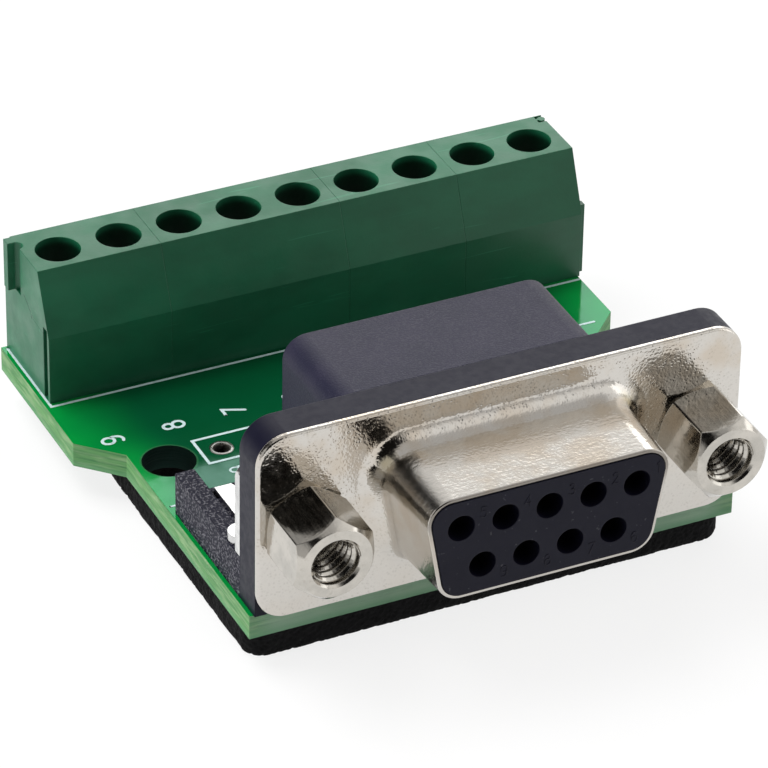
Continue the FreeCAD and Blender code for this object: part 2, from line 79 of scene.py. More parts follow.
class Nodes:
    """Short calls for the nodes of one tree."""

    def __init__(self, tree):
        self.tree = tree
        tree.nodes.clear()

    def link(self, a, b):
        self.tree.links.new(a, b)

    def node(self, kind, values=None, **settings):
        made = self.tree.nodes.new(kind)
        for key, value in settings.items():
            setattr(made, key, value)
        for key, value in (values or {}).items():
            if isinstance(value, bpy.types.NodeSocket):
                self.link(value, made.inputs[key])
            else:
                made.inputs[key].default_value = value
        return made

    def split(self, vector):
        made = self.node("ShaderNodeSeparateXYZ", {"Vector": vector})
        return made.outputs[0], made.outputs[1], made.outputs[2]

    def span(self, value, a, b, c, d):
        """Smooth step from c to d while the value goes from a to b."""
        values = {"Value": value, "From Min": a, "From Max": b, "To Min": c, "To Max": d}
        kind = "ShaderNodeMapRange"
        return self.node(kind, values, interpolation_type="SMOOTHSTEP").outputs[0]

    def maths(self, operation, *values):
        return self.node("ShaderNodeMath", dict(enumerate(values)), operation=operation).outputs[0]

    def times(self, a, b):
        return self.maths("MULTIPLY", a, b)


class Paint(Nodes):
    """A node material on one Principled shader. Sizes and places are given in millimetres."""

    def __init__(self, name, colour, roughness, metallic=0.0):
        self.material = bpy.data.materials.new(name)
        self.material.use_nodes = True
        self.material.diffuse_color = (*colour, 1)
        super().__init__(self.material.node_tree)
        self.out = self.node("ShaderNodeOutputMaterial")
        self.shader = self.node("ShaderNodeBsdfPrincipled", {
            "Base Color": (*colour, 1), "Roughness": roughness, "Metallic": metallic,
        })
        self.link(self.shader.outputs["BSDF"], self.out.inputs["Surface"])
        self.place = self.node("ShaderNodeTexCoord").outputs["Object"]

    def scaled(self, x, y, z):
        values = {"Vector": self.place, "Scale": (x, y, z)}
        return self.node("ShaderNodeMapping", values).outputs[0]

    def noise(self, size, detail=2.0, rough=0.5, place=None, distortion=0.0):
        values = {
            "Vector": place or self.place, "Scale": 1 / (size * MM), "Detail": detail,
            "Roughness": rough, "Distortion": distortion,
        }
        return self.node("ShaderNodeTexNoise", values).outputs["Fac"]

    def patches(self, size, a, b, c, d, detail=2.0, rough=0.5):
        """Patches of a size, with values from c to d, cut from a noise between a and b."""
        return self.span(self.noise(size, detail, rough), a, b, c, d)

    def cells(self, size):
        values = {"Vector": self.place, "Scale": 1 / (size * MM)}
        return self.node("ShaderNodeTexVoronoi", values, feature="F1").outputs["Distance"]

    def over(self, place, a, b, c, d):
        """Smooth step from c to d along a coordinate, from a to b."""
        return self.span(place, a * MM, b * MM, c, d)

    def mix(self, factor, a, b):
        """Mix of two colours, each a socket or three numbers."""
        values = [(*value, 1) if isinstance(value, tuple) else value for value in (a, b)]
        sockets = {0: factor, 6: values[0], 7: values[1]}
        made = self.node("ShaderNodeMix", sockets, data_type="RGBA", blend_type="MIX")
        return made.outputs[2]

    def axes(self):
        return self.split(self.place)

    def facing(self):
        return self.split(self.node("ShaderNodeNewGeometry").outputs["Normal"])

    def from_point(self, u, v, centre):
        """Distance from a point of the plane of two coordinates, in metres."""
        du = self.maths("SUBTRACT", u, centre[0] * MM)
        dv = self.maths("SUBTRACT", v, centre[1] * MM)
        flat = self.node("ShaderNodeCombineXYZ", {0: du, 1: dv}).outputs[0]
        made = self.node("ShaderNodeVectorMath", {0: flat}, operation="LENGTH")
        return made.outputs["Value"]

    def stroke(self, u, v, start, end, half):
        """Mask of a straight mark between two points of the plane of two coordinates."""
        length = math.dist(start, end)
        du, dv = (end[0] - start[0]) / length, (end[1] - start[1]) / length

        def dot(a, b, offset):
            moved = self.maths("MULTIPLY_ADD", v, b, -offset * MM)
            return self.maths("ADD", self.times(u, a), moved)

        along = dot(du, dv, start[0] * du + start[1] * dv)
        across = self.maths("ABSOLUTE", dot(-dv, du, start[1] * du - start[0] * dv))
        thin = self.over(across, half * 0.5, half, 1, 0)
        begun = self.over(along, -half, half, 0, 1)
        ended = self.over(along, length - half, length + half, 1, 0)
        return self.times(thin, self.times(begun, ended))

    def colour(self, socket):
        self.link(socket, self.shader.inputs["Base Color"])

    def roughness(self, socket):
        self.link(socket, self.shader.inputs["Roughness"])

    def relief(self, *layers, edge=0.0):
        """Bump layers of (height socket, depth), over softened edges where edge is given."""
        normal = None
        if edge:
            normal = self.node("ShaderNodeBevel", {"Radius": edge * MM}, samples=6).outputs[0]
        for height, depth in layers:
            values = {"Height": height, "Distance": depth * MM, "Strength": 1.0}
            if normal is not None:
                values["Normal"] = normal
            normal = self.node("ShaderNodeBump", values).outputs[0]
        self.link(normal, self.shader.inputs["Normal"])


def dress(names, material):
    for name in names:
        slots = nodes[name].data.materials
        slots.clear()
        slots.append(material)


def numbered(stem, last):
    return [f"{stem}_{i}" for i in range(1, last + 1)]


def paint_foam():
    p = Paint("closed_cell_foam", (0.004, 0.004, 0.0045), 0.95)
    p.shader.inputs["Specular IOR Level"].default_value = 0.2
    cell = p.cells(0.3)
    fine = p.noise(0.1, 3)
    shade = p.mix(p.span(cell, 0.1, 0.7, 0, 1), (0.0012, 0.0012, 0.0014), (0.005, 0.005, 0.0055))
    p.colour(p.mix(p.patches(5.0, 0.35, 0.65, 0, 0.3), shade, (0.007, 0.007, 0.0075)))
    p.relief((cell, 0.08), (fine, 0.03))
    return p.material


def paint_board():
    """Glossy mask on the flat faces, bare laminate on the cut edges, painted shade on the walls of
    the holes.
    """
    p = Paint("board_mask_and_laminate", (0.001, 0.1, 0.03), 0.1)
    p.shader.inputs["Specular Tint"].default_value = (0.25, 0.95, 0.75, 1.0)
    x, y, z = p.axes()
    ny, nz = p.facing()[1:]
    flat = p.span(p.maths("ABSOLUTE", nz), 0.5, 0.6, 0, 1)
    across = p.maths("ABSOLUTE", x)
    # Painted shade and light: the mask is darker in the middle, between the parts, and lighter
    # towards the board's sides, where it lies open.
    beside_front = p.over(across, 12.0, 15.9, 0, 1)
    beside_back = p.over(across, 12.5, 18.6, 0, 1)
    at_back = p.over(y, 0.0, 4.0, 0, 1)
    open_lit_part = p.maths("ADD", p.times(beside_back, at_back),
                        p.times(beside_front, p.maths("SUBTRACT", 1.0, at_back)))
    mask = p.mix(open_lit_part, (0.0004, 0.056, 0.018), (0.0008, 0.23, 0.035))
    mask = p.mix(p.patches(3.5, 0.3, 0.7, 0, 0.18, 2), mask, (0.0004, 0.075, 0.03))
    from_hole = p.from_point(across, y, (HOLE_X, 0))
    rim = p.over(from_hole, HOLE_RADIUS + 0.14, HOLE_RADIUS + 0.06, 0, 0.6)
    mask = p.mix(rim, mask, (0.03, 0.12, 0.05))
    weave = p.noise(1.0, 3, 0.6, p.scaled(0.16, 0.16, 9.0))
    streak = p.noise(1.0, 2, 0.5, p.scaled(0.5, 0.5, 3.0))
    edge = p.mix(p.span(weave, 0.3, 0.7, 0, 1), (0.055, 0.16, 0.055), (0.115, 0.26, 0.09))
    edge = p.mix(p.span(streak, 0.42, 0.7, 0, 0.6), edge, (0.24, 0.34, 0.18))
    front = p.times(p.span(ny, -0.6, -0.9, 0, 1),
                    p.over(y, BOARD_FRONT + 0.6, BOARD_FRONT + 0.2, 0, 1))
    from_corner = p.over(across, 15.6, 13.6, 0, 1)
    haze = p.times(front, p.maths("MULTIPLY_ADD", from_corner, 0.5, 0.3))
    edge = p.mix(haze, edge, (0.26, 0.36, 0.27))
    edge = p.mix(p.over(z, 2.6, 2.0, 0, 0.5), edge, (0.1, 0.26, 0.13))
    # Painted shade: the walls of the mounting holes are darkened to almost black.
    shaded_hole_wall = p.over(from_hole, HOLE_RADIUS + 0.3, HOLE_RADIUS + 0.2, 0, 1)
    edge = p.mix(shaded_hole_wall, edge, (0.0006, 0.002, 0.0012))
    p.colour(p.mix(flat, edge, mask))
    gloss = p.patches(0.9, 0.3, 0.7, 0.06, 0.13, 2)
    p.roughness(p.maths("ADD", p.times(flat, gloss),
                        p.times(p.maths("SUBTRACT", 1.0, flat), 0.65)))
    lines = p.times(weave, p.maths("SUBTRACT", 1.0, flat))
    p.relief((p.noise(2.2, 2), 0.006), (lines, 0.04), edge=0.04)
    return p.material


def paint_shell():
    """Nickel plate over drawn steel: dark pits, and draw lines on the collar."""
    p = Paint("nickel_plated_shell", (0.61, 0.58, 0.54), 0.14, 1.0)
    x, y, z = p.axes()
    peel = p.noise(0.2, 1, 0.5)
    pit = p.span(p.cells(0.19), 0.1, 0.5, 1, 0)
    dense = p.patches(0.6, 0.36, 0.6, 0.15, 1, 3, 0.6)
    pit = p.times(pit, dense)
    collar = p.over(y, FLANGE_FRONT - 0.1, FLANGE_FRONT - 1.1, 0, 1)
    pit = p.times(pit, p.maths("MULTIPLY_ADD", collar, -0.95, 1.0))
    # Warm patches, stronger higher up: partly the plate's own tone, partly painted warm reflection.
    warm_tone_and_reflection = p.patches(3.0, 0.38, 0.66, 0, 1, 3, 0.6)
    warm_tone_and_reflection = p.times(warm_tone_and_reflection, p.over(z, 5.5, 12.0, 0.2, 1))
    plate = p.mix(warm_tone_and_reflection, (0.62, 0.595, 0.555), (0.57, 0.51, 0.435))
    # Painted yellow highlight round the collar's top corners
    corner = p.from_point(p.maths("ABSOLUTE", x), z, (7.9, AXIS_Z + 3.3))
    yellow_highlight = p.times(p.over(corner, 0, 1.1, 1, 0), p.over(y, -18.5, -17.6, 0, 1))
    yellow_highlight = p.times(yellow_highlight, p.over(y, -17.0, -17.6, 0, 1))
    plate = p.mix(p.times(yellow_highlight, 0.4), plate, (0.62, 0.52, 0.2))
    # Painted shade on the front rim face of the mouth, darker towards the top
    ny = p.facing()[1]
    rim = p.times(p.over(y, FACE_Y + 0.3, FACE_Y + 0.2, 0, 1), p.span(ny, -0.4, -0.8, 0, 1))
    rim = p.times(rim, p.over(z, AXIS_Z + 0.5, AXIS_Z + 2.5, 0.2, 0.8))
    plate = p.mix(rim, plate, (0.16, 0.14, 0.12))
    p.colour(p.mix(p.times(pit, 0.18), plate, (0.2, 0.18, 0.15)))
    p.roughness(p.maths("MULTIPLY_ADD", collar, 0.05, p.patches(0.6, 0.3, 0.7, 0.1, 0.17, 3)))
    drawn = p.times(p.noise(1.0, 3, 0.6, p.scaled(0.35, 4.0, 4.0)), collar)
    p.relief((peel, 0.012), (pit, -0.008), (drawn, 0.009), edge=0.05)
    return p.material


def paint_jack():
    """Bright nickel on the turned and hexagonal faces, with a faint tool grain along the bar."""
    p = Paint("nickel_plated_hexagon", (0.57, 0.54, 0.49), 0.12, 1.0)
    grain = p.noise(1.0, 3, 0.6, p.scaled(5.0, 0.25, 5.0))
    spots = p.patches(0.3, 0.58, 0.7, 0, 1, 3)
    dull = p.patches(1.6, 0.35, 0.65, 0, 1, 4, 0.6)
    plate = p.mix(dull, (0.58, 0.55, 0.5), (0.48, 0.46, 0.42))
    p.colour(p.mix(p.times(spots, 0.25), plate, (0.36, 0.33, 0.29)))
    p.roughness(p.span(grain, 0.3, 0.7, 0.08, 0.16))
    p.relief((grain, 0.005), (p.noise(0.5, 2), 0.008), edge=0.1)
    return p.material


def paint_bracket():
    p = Paint("tin_plated_bracket", (0.86, 0.86, 0.85), 0.24, 1.0)
    dull = p.patches(1.2, 0.35, 0.7, 0, 1, 3)
    p.colour(p.mix(dull, (0.84, 0.84, 0.83), (0.6, 0.6, 0.6)))
    p.roughness(p.patches(0.5, 0.3, 0.7, 0.18, 0.36, 3))
    p.relief((p.noise(0.25, 3), 0.025), edge=0.06)
    return p.material


def paint_cover():
    """Dark moulded plastic with a fine spark-eroded grain."""
    p = Paint("grained_black_plastic", (0.025, 0.024, 0.034), 0.55)
    p.shader.inputs["Specular IOR Level"].default_value = 0.36
    grain = p.noise(0.12, 2, 0.6)
    speck = p.span(grain, 0.56, 0.72, 0, 1)
    base = p.mix(p.patches(3.0, 0.35, 0.65, 0, 1, 3), (0.009, 0.009, 0.024), (0.013, 0.012, 0.029))
    p.colour(p.mix(p.times(speck, 0.3), base, (0.06, 0.056, 0.08)))
    p.roughness(p.span(grain, 0.3, 0.7, 0.46, 0.62))
    p.relief((grain, 0.02), edge=0.1)
    return p.material


def paint_insulator():
    """Same plastic: smooth on the mating face, grained on the feet, a little dust on the face."""
    p = Paint("smooth_black_plastic", (0.009, 0.009, 0.015), 0.42)
    p.shader.inputs["Specular IOR Level"].default_value = 0.15
    y, z = p.axes()[1:]
    face = p.over(y, FACE_Y + 0.4, FACE_Y + 0.1, 0, 1)
    foot = p.times(p.over(y, FOOT_START - 0.1, FOOT_START + 0.1, 0, 1),
                   p.over(z, FOOT_TOP + 0.1, FOOT_TOP - 0.1, 0, 1))
    grain = p.noise(0.16, 2, 0.6)
    tone = p.patches(2.5, 0.35, 0.65, 0, 1, 3)
    plain = p.mix(tone, (0.0045, 0.0045, 0.013), (0.006, 0.006, 0.015))
    speck = p.times(p.span(grain, 0.5, 0.64, 0, 0.9), foot)
    base = p.mix(speck, plain, (0.12, 0.118, 0.135))
    dust = p.times(face, p.patches(0.25, 0.7, 0.75, 0, 0.5, 2, 0.5))
    p.colour(p.mix(dust, base, (0.09, 0.09, 0.1)))
    p.roughness(p.maths("MULTIPLY_ADD", foot, 0.14, p.patches(0.4, 0.3, 0.7, 0.38, 0.48, 3)))
    p.relief((grain, 0.004), (p.times(grain, foot), 0.02), edge=0.08)
    return p.material


def paint_block():
    """Satin green moulding with flow shade, fine grain, and a knit line on the left end."""
    p = Paint("satin_green_moulding", (0.01, 0.13, 0.06), 0.4)
    p.shader.inputs["Specular IOR Level"].default_value = 0.42
    x, y, z = p.axes()
    flow = p.noise(5.0, 4, 0.6, p.scaled(0.7, 1.0, 1.3))
    base = p.mix(p.span(flow, 0.32, 0.68, 0, 1), (0.007, 0.086, 0.039), (0.0095, 0.115, 0.053))
    scratch = p.noise(1.0, 2, 0.4, p.scaled(0.1, 1.4, 2.6), 1.5)
    mark = p.span(scratch, 0.7, 0.74, 0, 0.3)
    base = p.mix(mark, base, (0.04, 0.24, 0.13))
    end = p.over(x, -17.4, -17.6, 0, 1)
    knit = p.stroke(y, z, (12.41, 9.18), (11.26, 8.45), 0.075)
    faint = p.times(p.stroke(y, z, (11.23, 8.27), (9.38, 8.21), 0.06), 0.35)
    dot = p.over(p.from_point(y, z, (11.23, 8.27)), 0.08, 0.14, 1, 0)
    knit = p.times(p.maths("MAXIMUM", knit, p.maths("MAXIMUM", faint, dot)), end)
    base = p.mix(p.times(knit, 0.6), base, (0.004, 0.06, 0.03))
    # Shade of the narrow screw holes, from the distance to the nearest screw's axis
    poles = p.maths("MULTIPLY_ADD", x, 1 / (POLE_PITCH * MM), 0.5 - POLE_CENTRE / POLE_PITCH)
    off_axis = p.times(p.maths("SUBTRACT", p.maths("FRACT", poles), 0.5), POLE_PITCH * MM)
    from_axis = p.from_point(off_axis, y, (0, SCREW_Y))
    inside = p.times(p.over(from_axis, SCREW_HOLE + 0.25, SCREW_HOLE + 0.1, 0, 1),
                     p.over(z, BLOCK_TOP - 0.1, BLOCK_TOP - 0.6, 0, 1))
    p.colour(p.mix(p.times(inside, 0.85), base, (0.001, 0.01, 0.005)))
    grain = p.noise(0.22, 2, 0.6)
    p.roughness(p.patches(1.6, 0.3, 0.7, 0.34, 0.46, 3))
    p.relief((grain, 0.005), (flow, 0.03), (knit, -0.04), edge=0.06)
    return p.material


def paint_contact():
    p = Paint("gold_flashed_contact", (0.78, 0.56, 0.25), 0.25, 1.0)
    tone = p.patches(0.8, 0.35, 0.65, 0, 1, 3)
    p.colour(p.mix(tone, (0.82, 0.6, 0.28), (0.68, 0.47, 0.2)))
    p.roughness(p.patches(0.3, 0.3, 0.7, 0.2, 0.34, 2))
    p.relief((p.noise(1.0, 2, 0.5, p.scaled(0.4, 6.0, 6.0)), 0.006), edge=0.05)
    return p.material


def paint_steel(name, bright, dull, low, high):
    p = Paint(name, bright, (low + high) / 2, 1.0)
    tone = p.patches(0.7, 0.35, 0.68, 0, 1, 3)
    p.colour(p.mix(tone, bright, dull))
    p.roughness(p.span(p.noise(0.4, 3), 0.3, 0.7, low, high))
    p.relief((p.noise(0.2, 2), 0.008), edge=0.06)
    return p.material


def paint_ink():
    p = Paint("white_screen_ink", (0.6, 0.66, 0.68), 0.5)
    worn = p.patches(0.35, 0.5, 0.75, 0, 1, 3, 0.6)
    p.colour(p.mix(worn, (0.5, 0.62, 0.63), (0.3, 0.44, 0.42)))
    p.roughness(p.patches(0.3, 0.3, 0.7, 0.4, 0.6, 2))
    p.relief((p.noise(0.12, 2), 0.01))
    return p.material


foam = paint_foam()
board = paint_board()
shell = paint_shell()
jack = paint_jack()
bracket = paint_bracket()
cover = paint_cover()
insulator = paint_insulator()
block = paint_block()
contact = paint_contact()
screw = paint_steel("nickel_plated_screw", (0.72, 0.72, 0.71), (0.55, 0.54, 0.52), 0.2, 0.36)
cage = paint_steel("zinc_plated_cage", (0.7, 0.71, 0.73), (0.52, 0.53, 0.55), 0.28, 0.45)
pin = paint_steel("tin_plated_pin", (0.8, 0.79, 0.76), (0.66, 0.64, 0.6), 0.26, 0.4)
ink = paint_ink()

dress(["foam_pad"], foam)
dress(["circuit_board"], board)
dress(["connector_shell"], shell)
dress(["jack_socket_left", "jack_socket_right"], jack)
dress(["board_bracket_left", "board_bracket_right"], bracket)
dress(["rear_cover"], cover)
dress(["front_insulator"], insulator)
dress(numbered("terminal_body", 4), block)
dress(numbered("socket_contact", 9), contact)
dress(numbered("terminal_screw", 9), screw)
dress(numbered("wire_cage", 9), cage)
dress(numbered("terminal_pin", 9), pin)


# Pieces

def add_piece(name, mesh, material, smooth=True):
    piece = bpy.data.objects.new(name, mesh)
    bpy.context.collection.objects.link(piece)
    mesh.materials.clear()
    mesh.materials.append(material)
    for polygon in mesh.polygons:
        polygon.use_smooth = smooth
    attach(piece, "root")
    return piece


def wall_faces(bm, seed):
    """Faces joined edge to edge with the seed face."""
    found, waiting = {seed}, [seed]
    while waiting:
        for edge in waiting.pop().edges:
            for other in edge.link_faces:
                if other not in found:
                    found.add(other)
                    waiting.append(other)
    return found


def low_outline(faces, z):
    """Corner points of a wall at height z, anticlockwise seen from above."""
    links = {}
    for face in faces:
        for edge in face.edges:
            a, b = edge.verts
            if abs(a.co.z - z) < TINY and abs(b.co.z - z) < TINY:
                links.setdefault(a, set()).add(b)
                links.setdefault(b, set()).add(a)
    start = next(iter(links))
    loop, before, here = [], None, start
    while here is not start or before is None:
        loop.append(here.co.xy.copy())
        onward = [v for v in links[here] if v is not before]
        before, here = here, onward[0]
    area = sum(a.cross(b) for a, b in zip(loop, loop[1:] + loop[:1]))
    return loop if area > 0 else loop[::-1]


# Foam edge: heights over a pad of 2 mm, and how far the wall is rounded in at each
FOAM_LEVELS = (0, 0.1, 0.25, 0.45, 0.7, 0.95, 1.2, 1.45, 1.7, 1.88, 2.0)
FOAM_ROUNDING = (0.11, 0.05, 0.01, 0, 0, 0, 0, 0, 0, 0.02, 0.05)
FOAM_STEP = 0.13
FOAM_COARSE = 0.08
FOAM_FINE = 0.13


def foam_depth(spot, rounding, wall):
    """How far the pad's edge lies inside its solid, in metres; wall is what the hole leaves."""
    coarse = 0.5 + 0.5 * noise.noise(spot * 800)
    fine = max(0.0, noise.noise(spot * 3600 + Vector((7, 3, 1))))
    return min((rounding + FOAM_COARSE * coarse + FOAM_FINE * fine) * MM, 0.45 * wall)


def make_foam():
    """Foam pad with a rough die-cut edge: its solid with the outer wall cut fine and pushed in."""
    low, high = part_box("foam_pad")
    bm = bmesh.new()
    bm.from_mesh(nodes["foam_pad"].data)
    bmesh.ops.remove_doubles(bm, verts=bm.verts, dist=TINY)
    flats = []
    for face in bm.faces:
        middle = face.calc_center_median().z
        if abs(face.normal.z) > 0.9 and min(abs(middle - low[2]), abs(middle - high[2])) < TINY:
            flats.append(face)
    bmesh.ops.delete(bm, geom=flats, context="FACES")
    seed = min(bm.faces, key=lambda face: face.calc_center_median().x)
    outer = wall_faces(bm, seed)
    outline = low_outline(outer, low[2])
    bmesh.ops.delete(bm, geom=list(outer), context="FACES")

    places = []
    for i, here in enumerate(outline):
        step = outline[(i + 1) % len(outline)] - here
        parts = max(1, round(step.length / (FOAM_STEP * MM)))
        places += [here + step * k / parts for k in range(parts)]
    count = len(places)
    holes = [Vector((side * HOLE_X, 0)) * MM for side in (-1, 1)]
    rows = []
    for level, rounding in zip(FOAM_LEVELS, FOAM_ROUNDING):
        z = low[2] + (high[2] - low[2]) * level / FOAM_LEVELS[-1]
        row = []
        for i, here in enumerate(places):
            run = (places[(i + 1) % count] - places[i - 1]).normalized()
            out = Vector((run.y, -run.x))
            wall = min((here - hole).length for hole in holes) - HOLE_RADIUS * MM
            depth = foam_depth(Vector((here.x, here.y, z)), rounding, wall)
            row.append(bm.verts.new((here.x - out.x * depth, here.y - out.y * depth, z)))
        rows.append(row)
    for lower, upper in zip(rows, rows[1:]):
        for i in range(count):
            j = (i + 1) % count
            bm.faces.new((lower[i], lower[j], upper[j], upper[i]))
    for z in (low[2], high[2]):
        rim = [
            edge for edge in bm.edges
            if len(edge.link_faces) == 1 and all(abs(v.co.z - z) < TINY for v in edge.verts)
        ]
        bmesh.ops.triangle_fill(bm, use_beauty=True, edges=rim)
    mesh = finish_mesh(bm, "foam_pad_rough")
    piece = add_piece("foam_pad_rough", mesh, foam)
    mesh.set_sharp_from_angle(angle=math.radians(60))
    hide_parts("foam_pad")


def arc(u, v, ru, rv, start, end, steps=14):
    """Points of an elliptic arc, angles in degrees."""
    angles = [math.radians(start + (end - start) * i / steps) for i in range(steps + 1)]
    return [(u + ru * math.cos(a), v + rv * math.sin(a)) for a in angles]


def loop(u, v, ru, rv):
    points = arc(u, v, ru, rv, 0, 360, 22)
    return points[:-1] + points[:1]


STROKES = {
    "1": [[(0.1, 0.8), (0.3, 1.0), (0.3, 0.0)]],
    "2": [arc(0.28, 0.74, 0.24, 0.26, 165, -38) + [(0.04, 0.0), (0.54, 0.0)]],
    "3": [arc(0.26, 0.76, 0.23, 0.24, 140, -90) + arc(0.26, 0.26, 0.26, 0.26, 90, -145)[1:]],
    "4": [[(0.4, 0.0), (0.4, 1.0), (0.0, 0.3), (0.54, 0.3)]],
    "5": [[(0.48, 1.0), (0.1, 1.0), (0.06, 0.58)] + arc(0.26, 0.31, 0.26, 0.31, 125, -145)],
    "6": [loop(0.27, 0.29, 0.25, 0.29), arc(0.32, 0.62, 0.3, 0.38, 205, 62)],
    "7": [[(0.02, 1.0), (0.54, 1.0), (0.12, 0.0)]],
    "8": [loop(0.27, 0.77, 0.21, 0.23), loop(0.27, 0.28, 0.26, 0.28)],
    "9": [loop(0.27, 0.71, 0.25, 0.29), arc(0.22, 0.38, 0.3, 0.38, 25, -118)],
}


def ribbon(bm, points, width, lay, thick):
    """Flat strip with mitred corners and round ends, through 2D points that lay() puts in space."""
    half = width / 2
    closed = (Vector(points[0]) - Vector(points[-1])).length < 1e-9
    path = [Vector(p) for p in points]
    if closed:
        path = path[:-1]
    count = len(path)
    left, right = [], []
    for i, here in enumerate(path):
        before = path[i - 1] if closed or i > 0 else None
        after = path[(i + 1) % count] if closed or i < count - 1 else None
        a = (here - before).normalized() if before is not None else None
        b = (after - here).normalized() if after is not None else None
        way = ((a or b) + (b or a)).normalized()
        side = Vector((-way.y, way.x))
        stretch = 1.0
        if a is not None and b is not None:
            stretch = 1 / max(0.45, side.dot(Vector((-a.y, a.x))))
        left.append(here + side * half * stretch)
        right.append(here - side * half * stretch)
    top, low = [], []
    for pair in zip(left, right):
        top.append([bm.verts.new(lay(p.x, p.y, thick)) for p in pair])
        low.append([bm.verts.new(lay(p.x, p.y, 0)) for p in pair])
    steps = count if closed else count - 1
    for i in range(steps):
        j = (i + 1) % count
        bm.faces.new((top[i][0], top[i][1], top[j][1], top[j][0]))
        bm.faces.new((low[i][0], low[j][0], low[j][1], low[i][1]))
        bm.faces.new((top[i][0], top[j][0], low[j][0], low[i][0]))
        bm.faces.new((top[i][1], low[i][1], low[j][1], top[j][1]))
    if closed:
        return
    for i, sign in ((0, -1), (count - 1, 1)):
        centre = path[i]
        way = (path[1] - path[0]) if i == 0 else (path[-1] - path[-2])
        start = math.atan2(way.y, way.x) - math.pi / 2 * sign
        fan = []
        for k in range(7):
            angle = start + sign * math.pi * k / 6
            fan.append((centre.x + half * math.cos(angle), centre.y + half * math.sin(angle)))
        upper = [bm.verts.new(lay(u, v, thick)) for u, v in fan]
        lower = [bm.verts.new(lay(u, v, 0)) for u, v in fan]
        bm.faces.new(upper)
        bm.faces.new(lower[::-1])
        for k in range(6):
            bm.faces.new((upper[k], lower[k], lower[k + 1], upper[k + 1]))


def finish_mesh(bm, name):
    bmesh.ops.recalc_face_normals(bm, faces=bm.faces)
    mesh = bpy.data.meshes.new(name)
    bm.to_mesh(mesh)
    bm.free()
    return mesh


def figure(bm, glyph, centre, height, stroke, lay, thick):
    """One number, centred at a 2D point; a second stroke lies a little higher than the first."""
    middle = Vector((0.28, 0.5))
    for i, line in enumerate(STROKES[glyph]):
        points = [(Vector(spot) - middle) * height + Vector(centre) for spot in line]
        ribbon(bm, points, stroke, lay, thick * (1 + 0.2 * i))


PRINT_LIFT = 0.004
PRINT_THICK = 0.012
BLOCK_LINE = [(-17.75, 15.4), (-17.75, 8.2), (17.95, 8.2)]
HEADER_FRAME = [(-11.48, -1.25), (11.48, -1.25), (11.48, 1.35), (-11.48, 1.35), (-11.48, -1.25)]
NUMBER_Y = 3.4
END_NUMBER_Y = -2.45


def on_board(u, v, h):
    return Vector((u, v, BOARD_TOP + PRINT_LIFT + h)) * MM


def turned_at(x, y):
    """Lay of a number at a place on the board, read from the board's right side."""
    def lay(u, v, h):
        return on_board(x - v, y + u, h)

    return lay


def make_screen_print():
    """Printed outlines and terminal numbers on the board."""
    bm = bmesh.new()
    ribbon(bm, BLOCK_LINE, 0.18, on_board, PRINT_THICK)
    ribbon(bm, HEADER_FRAME, 0.19, on_board, PRINT_THICK)
    for side in (-1, 1):
        ribbon(bm, [(side * 15.44, -4.45), (side * 10.0, -4.45)], 0.16, on_board, PRINT_THICK)
    for number in range(1, 10):
        x = POLE_CENTRE + (5 - number) * POLE_PITCH
        figure(bm, str(number), (0, 0.17), 1.31, 0.19, turned_at(x, NUMBER_Y), PRINT_THICK)
    for glyph, x in (("9", -4 * HEADER_PITCH), ("1", 4 * HEADER_PITCH)):
        figure(bm, glyph, (0, 0), 1.0, 0.13, turned_at(x, END_NUMBER_Y), PRINT_THICK)
    add_piece("screen_print", finish_mesh(bm, "screen_print"), ink, smooth=False)


def make_face_numbers():
    """Small raised numbers beside the contact mouths."""
    bm = bmesh.new()

    def upright(u, v, h):
        return Vector((u, FACE_Y + 0.01 - h, v)) * MM

    for first, count, height in ((1, 5, 2.15), (6, 4, -2.3)):
        for i in range(count):
            x = (count / 2 - i) * CONTACT_PITCH
            figure(bm, str(first + i), (x, AXIS_Z + height), 0.7, 0.075, upright, 0.028)
    mesh = finish_mesh(bm, "face_numbers")
    add_piece("face_numbers", mesh, insulator, smooth=False)


def turned_ring(bm, profile, centre, steps=40):
    """Ring turned about a vertical line through centre, from (radius, height) points."""
    rows = []
    for i in range(steps):
        angle = 2 * math.pi * i / steps
        out = Vector((math.cos(angle), math.sin(angle), 0))
        spots = [Vector((*centre, h)) + out * r for r, h in profile]
        rows.append([bm.verts.new(spot * MM) for spot in spots])
    last = len(profile)
    for i in range(steps):
        a, b = rows[i], rows[(i + 1) % steps]
        for k in range(last):
            j = (k + 1) % last
            bm.faces.new((a[k], b[k], b[j], a[j]))


def make_plated_holes():
    """Tinned rings of the nine plated holes, with their barrels through the board."""
    bm = bmesh.new()
    top, low = BOARD_TOP, BOARD_BOTTOM
    bore, drilled, rim = 0.535, 0.549, 0.755
    profile = [
        (bore, low), (bore, top + 0.02), (bore + 0.035, top + 0.035), (rim - 0.035, top + 0.03),
        (rim, top + 0.002), (drilled, top + 0.002), (drilled, low),
    ]
    for i in range(9):
        turned_ring(bm, profile, ((i - 4) * HEADER_PITCH, 0))
    add_piece("plated_holes", finish_mesh(bm, "plated_holes"), pin)


